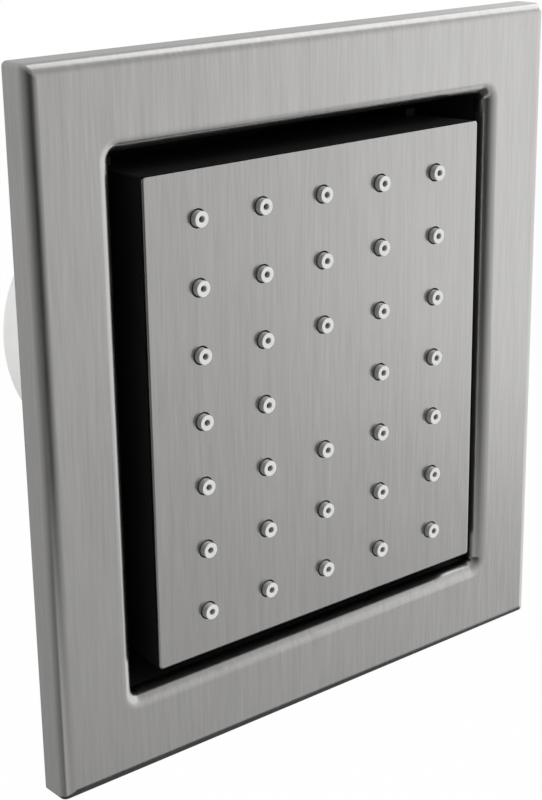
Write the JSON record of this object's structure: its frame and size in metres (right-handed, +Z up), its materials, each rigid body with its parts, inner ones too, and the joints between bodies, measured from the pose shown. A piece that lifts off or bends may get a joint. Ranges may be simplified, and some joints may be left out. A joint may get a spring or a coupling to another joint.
{
  "type": "shower body jet",
  "caption": "Flush wall shower body jet: brushed rectangular frame round a tilting spray plate with soft nozzles, on a ball joint in a black recess with a round in-wall housing.",
  "frame": {"origin": "centre of the faceplate's back rim, on the finished wall", "axes": "+X right and +Z up as seen from the front, +Y into the wall towards the water inlet"},
  "size_m": [0.12, 0.0763, 0.1308],
  "materials": {
    "brushed_nickel": "vertical brushed satin",
    "black_plastic": "moulded satin black",
    "white_plastic": "moulded white",
    "grey_silicone": "soft silicone",
    "black_rubber": "moulded seal",
    "brass": "machined",
    "stainless": "plain stainless",
    "natural_acetal": "moulded natural"
  },
  "bodies": {
    "wall_unit": {"faceplate": "brushed_nickel", "recess_tub": "black_plastic", "wall_gasket": "black_rubber", "faceplate_clips": "stainless", "mounting_can": "white_plastic", "can_gasket": "black_rubber", "can_screws": "stainless", "inlet_body": "brass", "inlet_gasket": "black_rubber", "inlet_locknut": "brass", "inlet_strainer": "stainless", "flow_regulator": "black_plastic", "ball_stem": "brass", "stem_o_ring": "black_rubber", "anti_turn_pins": "stainless"},
    "ball_seat": {"seat_ring": "natural_acetal"},
    "spray_head": {"spray_plate": "brushed_nickel", "nozzle_mat": "grey_silicone", "head_shell": "black_plastic", "chamber_cover": "black_plastic", "ball_seal": "black_rubber", "ball_nut": "black_plastic", "head_screws": "stainless", "rear_cover": "black_plastic"}
  },
  "joints": [
    {"name": "head_tilt", "type": "hinge", "parent": "wall_unit", "child": "ball_seat", "pos_m": [0, 0.008, 0], "axis": [1, 0, 0], "range_deg": [-8, 8]},
    {"name": "head_swivel", "type": "hinge", "parent": "ball_seat", "child": "spray_head", "pos_m": [0, 0.008, 0], "axis": [0, 0, 1], "range_deg": [-8, 8]}
  ]
}
